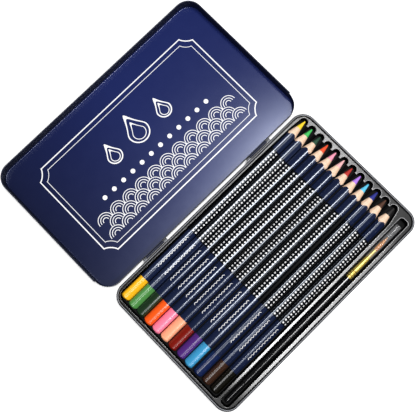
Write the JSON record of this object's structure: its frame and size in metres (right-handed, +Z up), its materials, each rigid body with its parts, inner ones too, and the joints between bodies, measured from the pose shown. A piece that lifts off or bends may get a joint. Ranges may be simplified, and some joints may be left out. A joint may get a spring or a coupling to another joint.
{
  "type": "watercolor pencil set",
  "caption": "Shallow hinged tin, lid open flat, with a black formed tray of soft-triangular watercolor pencils in assorted colors and a capped paint brush.",
  "frame": {"origin": "centre of the tin base's underside, on the surface that it lies on", "axes": "+X along the pencils to their points, +Y to the hinge and the open lid, +Z up"},
  "size_m": [0.1884, 0.2282, 0.0094],
  "materials": {
    "tinplate": "bare bright tinplate",
    "navy_tinplate": "glossy navy print",
    "tray_black": "glossy black formed sheet",
    "navy_casing": "navy lacquer over pale wood, bare wood at the cone",
    "yellow_lead": "matt yellow pigment core",
    "yellow_dip": "glossy yellow lacquer",
    "green_lead": "matt green pigment core",
    "green_dip": "glossy green lacquer",
    "dark_green_lead": "matt dark green pigment core",
    "dark_green_dip": "glossy dark green lacquer",
    "orange_lead": "matt orange pigment core",
    "orange_dip": "glossy orange lacquer",
    "pink_lead": "matt pink pigment core",
    "pink_dip": "glossy pink lacquer",
    "peach_lead": "matt peach pigment core",
    "peach_dip": "glossy peach lacquer",
    "dark_red_lead": "matt dark red pigment core",
    "dark_red_dip": "glossy dark red lacquer",
    "violet_lead": "matt violet pigment core",
    "violet_dip": "glossy violet lacquer",
    "sky_blue_lead": "matt sky blue pigment core",
    "sky_blue_dip": "glossy sky blue lacquer",
    "navy_lead": "matt navy pigment core",
    "navy_dip": "glossy navy lacquer",
    "brown_lead": "matt brown pigment core",
    "brown_dip": "glossy brown lacquer",
    "black_lead": "matt black pigment core",
    "black_dip": "glossy black lacquer",
    "brush_black": "glossy black lacquer",
    "gold_metal": "polished",
    "hair": "orange-brown hair",
    "clear_plastic": "clear"
  },
  "bodies": {
    "base": {"base_pan": "tinplate"},
    "lid": {"lid": "navy_tinplate"},
    "tray": {"tray": "tray_black"},
    "yellow_pencil": {"yellow_pencil_casing": "navy_casing", "yellow_pencil_lead": "yellow_lead", "yellow_pencil_dip": "yellow_dip"},
    "green_pencil": {"green_pencil_casing": "navy_casing", "green_pencil_lead": "green_lead", "green_pencil_dip": "green_dip"},
    "dark_green_pencil": {"dark_green_pencil_casing": "navy_casing", "dark_green_pencil_lead": "dark_green_lead", "dark_green_pencil_dip": "dark_green_dip"},
    "orange_pencil": {"orange_pencil_casing": "navy_casing", "orange_pencil_lead": "orange_lead", "orange_pencil_dip": "orange_dip"},
    "pink_pencil": {"pink_pencil_casing": "navy_casing", "pink_pencil_lead": "pink_lead", "pink_pencil_dip": "pink_dip"},
    "peach_pencil": {"peach_pencil_casing": "navy_casing", "peach_pencil_lead": "peach_lead", "peach_pencil_dip": "peach_dip"},
    "dark_red_pencil": {"dark_red_pencil_casing": "navy_casing", "dark_red_pencil_lead": "dark_red_lead", "dark_red_pencil_dip": "dark_red_dip"},
    "violet_pencil": {"violet_pencil_casing": "navy_casing", "violet_pencil_lead": "violet_lead", "violet_pencil_dip": "violet_dip"},
    "sky_blue_pencil": {"sky_blue_pencil_casing": "navy_casing", "sky_blue_pencil_lead": "sky_blue_lead", "sky_blue_pencil_dip": "sky_blue_dip"},
    "navy_pencil": {"navy_pencil_casing": "navy_casing", "navy_pencil_lead": "navy_lead", "navy_pencil_dip": "navy_dip"},
    "brown_pencil": {"brown_pencil_casing": "navy_casing", "brown_pencil_lead": "brown_lead", "brown_pencil_dip": "brown_dip"},
    "black_pencil": {"black_pencil_casing": "navy_casing", "black_pencil_lead": "black_lead", "black_pencil_dip": "black_dip"},
    "brush": {"brush_handle": "brush_black", "brush_ferrule": "gold_metal", "brush_bristles": "hair"},
    "brush_cap": {"brush_cap": "clear_plastic"}
  },
  "joints": [
    {"name": "lid_hinge", "type": "hinge", "parent": "base", "child": "lid", "pos_m": [0, 0.05735, 0.008], "axis": [-1, 0, 0], "range_deg": [-180, 0]},
    {"name": "tray_lift", "type": "slide", "parent": "base", "child": "tray", "axis": [0, 0, 1], "range_m": [0, 0.06]},
    {"name": "yellow_pencil_lift", "type": "slide", "parent": "tray", "child": "yellow_pencil", "axis": [0, 0, 1], "range_m": [0, 0.05]},
    {"name": "green_pencil_lift", "type": "slide", "parent": "tray", "child": "green_pencil", "axis": [0, 0, 1], "range_m": [0, 0.05]},
    {"name": "dark_green_pencil_lift", "type": "slide", "parent": "tray", "child": "dark_green_pencil", "axis": [0, 0, 1], "range_m": [0, 0.05]},
    {"name": "orange_pencil_lift", "type": "slide", "parent": "tray", "child": "orange_pencil", "axis": [0, 0, 1], "range_m": [0, 0.05]},
    {"name": "pink_pencil_lift", "type": "slide", "parent": "tray", "child": "pink_pencil", "axis": [0, 0, 1], "range_m": [0, 0.05]},
    {"name": "peach_pencil_lift", "type": "slide", "parent": "tray", "child": "peach_pencil", "axis": [0, 0, 1], "range_m": [0, 0.05]},
    {"name": "dark_red_pencil_lift", "type": "slide", "parent": "tray", "child": "dark_red_pencil", "axis": [0, 0, 1], "range_m": [0, 0.05]},
    {"name": "violet_pencil_lift", "type": "slide", "parent": "tray", "child": "violet_pencil", "axis": [0, 0, 1], "range_m": [0, 0.05]},
    {"name": "sky_blue_pencil_lift", "type": "slide", "parent": "tray", "child": "sky_blue_pencil", "axis": [0, 0, 1], "range_m": [0, 0.05]},
    {"name": "navy_pencil_lift", "type": "slide", "parent": "tray", "child": "navy_pencil", "axis": [0, 0, 1], "range_m": [0, 0.05]},
    {"name": "brown_pencil_lift", "type": "slide", "parent": "tray", "child": "brown_pencil", "axis": [0, 0, 1], "range_m": [0, 0.05]},
    {"name": "black_pencil_lift", "type": "slide", "parent": "tray", "child": "black_pencil", "axis": [0, 0, 1], "range_m": [0, 0.05]},
    {"name": "brush_lift", "type": "slide", "parent": "tray", "child": "brush", "axis": [0, 0, 1], "range_m": [0, 0.05]},
    {"name": "cap_slide", "type": "slide", "parent": "brush", "child": "brush_cap", "axis": [1, 0, 0], "range_m": [0, 0.0045]}
  ]
}
